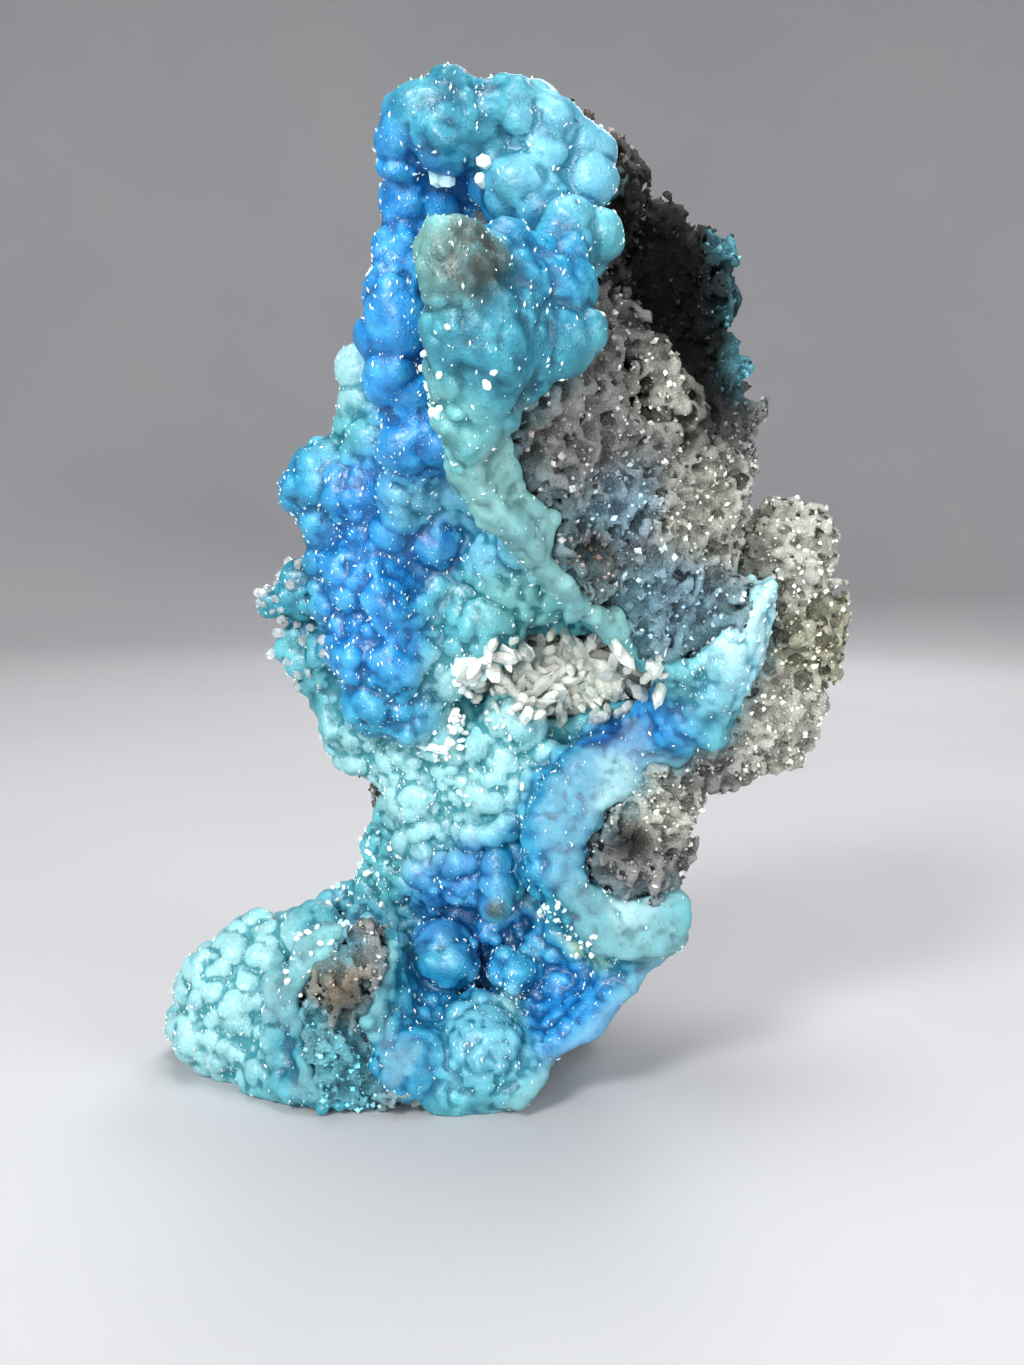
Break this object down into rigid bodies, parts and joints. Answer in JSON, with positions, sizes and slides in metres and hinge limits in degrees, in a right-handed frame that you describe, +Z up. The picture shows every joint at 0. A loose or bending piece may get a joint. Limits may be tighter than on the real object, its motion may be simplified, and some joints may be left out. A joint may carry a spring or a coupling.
{
  "type": "hemimorphite mineral specimen",
  "caption": "Standing piece of blue and aqua botryoidal hemimorphite crust on spongy grey rock matrix, with broken faces, a curled shell and a pocket of pale crystals.",
  "frame": {"origin": "middle of the specimen's outline on the surface that its flat foot rests on", "axes": "+Z up along the specimen's height, +Y away from its open blue side, +X to the right as seen from that side"},
  "size_m": [0.0728, 0.0624, 0.0962],
  "materials": {
    "rock": "rough, spongy, dull",
    "crust": "satin to glassy, translucent, with fine druse",
    "crystals": "glassy, cream-white, part clear"
  },
  "bodies": {
    "root": {"rock_matrix": "rock", "hemimorphite_crust": "crust", "pocket_crystals": "crystals"}
  },
  "joints": []
}
